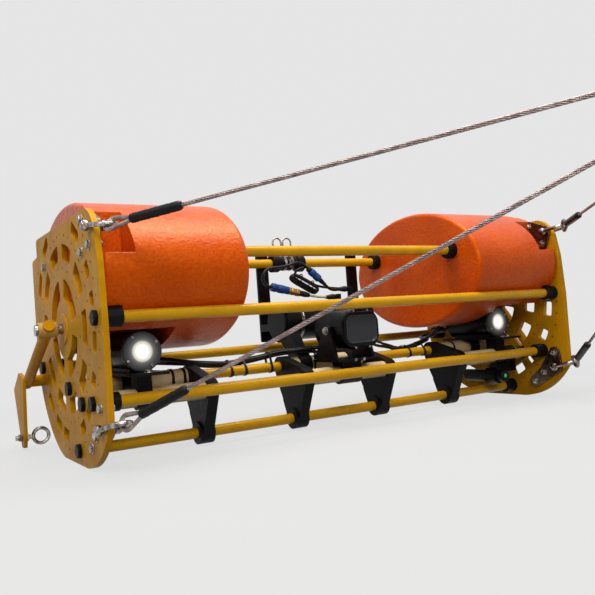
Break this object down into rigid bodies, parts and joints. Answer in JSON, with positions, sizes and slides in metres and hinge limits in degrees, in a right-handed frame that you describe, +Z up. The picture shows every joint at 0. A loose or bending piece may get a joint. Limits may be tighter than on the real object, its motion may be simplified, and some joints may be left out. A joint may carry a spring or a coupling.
{
  "type": "towed underwater camera",
  "caption": "Tube frame between two slotted end plates, carrying floats, lights and a tilting camera, with wire towing legs at the front corners.",
  "frame": {"origin": "centre of the left end plate's hub, in that plate's outer face", "axes": "+X along the frame to the right end plate, -Y the towing direction, +Z up"},
  "size_m": [1.458, 1.4697, 0.5934],
  "materials": {
    "yellow_anodised": "satin yellow coat on plate",
    "yellow_tube": "satin yellow coat on tube",
    "black_plastic": "matte, lightly worn edges",
    "orange_foam": "soft orange-peel skin over closed-cell foam",
    "cream_sleeve": "matte",
    "stainless": "weathered stainless",
    "wire_rope": "stranded stainless, dulled",
    "wire_end_black": "heat-shrink sleeve, satin",
    "black_anodised": "black anodised, satin",
    "clear_glass": "polished",
    "light_emitter": null,
    "lead_jacket": "satin jacket",
    "pale_jacket": "pale jacket, satin",
    "connector_blue": "moulded connector, satin"
  },
  "bodies": {
    "frame": {"camera_cradle": "black_anodised", "electronics_housing": "black_anodised", "frame_bolts": "stainless", "hub_pins": "stainless", "keel_bracket_1": "black_plastic", "keel_bracket_2": "black_plastic", "keel_bracket_3": "black_plastic", "keel_bracket_4": "black_plastic", "laser_pointer": "black_anodised", "lead_connectors": "connector_blue", "lead_left_light": "lead_jacket", "lead_link": "lead_jacket", "lead_pale": "pale_jacket", "lead_right_light": "lead_jacket", "lead_trunk": "lead_jacket", "left_end_plate": "yellow_anodised", "left_float": "orange_foam", "lift_bails": "stainless", "lift_clamp": "black_anodised", "light_bases": "black_anodised", "light_bezels": "black_anodised", "light_emitters": "light_emitter", "light_housings": "black_anodised", "light_lenses": "clear_glass", "payload_clips": "black_anodised", "payload_sleeves": "cream_sleeve", "rear_straps": "black_anodised", "right_end_plate": "yellow_anodised", "right_float": "orange_foam", "rod_back": "yellow_tube", "rod_bottom": "yellow_tube", "rod_collars": "black_plastic", "rod_end_caps": "black_plastic", "rod_lower_front": "yellow_tube", "rod_mid_back": "yellow_tube", "rod_mid_front": "yellow_tube", "rod_top_back": "yellow_tube", "rod_top_front": "yellow_tube", "rod_upper_front": "yellow_tube", "tow_lug_plates": "stainless"},
    "left_trim_arm": {"left_trim_arm": "yellow_anodised", "left_arm_bush": "cream_sleeve", "arm_eye_bolt": "stainless"},
    "right_trim_arm": {"right_trim_arm": "yellow_anodised", "right_arm_bush": "cream_sleeve"},
    "camera": {"camera_housing": "black_anodised", "camera_bezel": "black_anodised", "camera_window": "clear_glass"},
    "tow_leg_1": {"tow_shackle_1": "stainless", "tow_end_1": "wire_end_black", "tow_wire_1": "wire_rope"},
    "tow_leg_2": {"tow_shackle_2": "stainless", "tow_end_2": "wire_end_black", "tow_wire_2": "wire_rope"},
    "tow_leg_3": {"tow_shackle_3": "stainless", "tow_end_3": "wire_end_black", "tow_wire_3": "wire_rope"},
    "tow_leg_4": {"tow_shackle_4": "stainless", "tow_end_4": "wire_end_black", "tow_wire_4": "wire_rope"}
  },
  "joints": [
    {"name": "left_trim_arm_turn", "type": "hinge", "parent": "frame", "child": "left_trim_arm", "pos_m": [-0.035, 0, 0], "axis": [1, 0, 0], "range_deg": [-40, 40]},
    {"name": "right_trim_arm_turn", "type": "hinge", "parent": "frame", "child": "right_trim_arm", "pos_m": [1.365, 0, 0], "axis": [1, 0, 0], "range_deg": [-40, 40]},
    {"name": "camera_tilt", "type": "hinge", "parent": "frame", "child": "camera", "pos_m": [0.665, -0.13, -0.048], "axis": [1, 0, 0], "range_deg": [-15, 15]},
    {"name": "tow_leg_1_swing", "type": "hinge", "parent": "frame", "child": "tow_leg_1", "pos_m": [0.009, -0.248, 0.19], "axis": [1, 0, 0], "range_deg": [-10, 0]},
    {"name": "tow_leg_2_swing", "type": "hinge", "parent": "frame", "child": "tow_leg_2", "pos_m": [0.009, -0.252, -0.2], "axis": [1, 0, 0], "range_deg": [0, 10]},
    {"name": "tow_leg_3_swing", "type": "hinge", "parent": "frame", "child": "tow_leg_3", "pos_m": [1.321, -0.248, 0.19], "axis": [1, 0, 0], "range_deg": [-10, 10]},
    {"name": "tow_leg_4_swing", "type": "hinge", "parent": "frame", "child": "tow_leg_4", "pos_m": [1.321, -0.252, -0.2], "axis": [1, 0, 0], "range_deg": [-10, 10]}
  ]
}
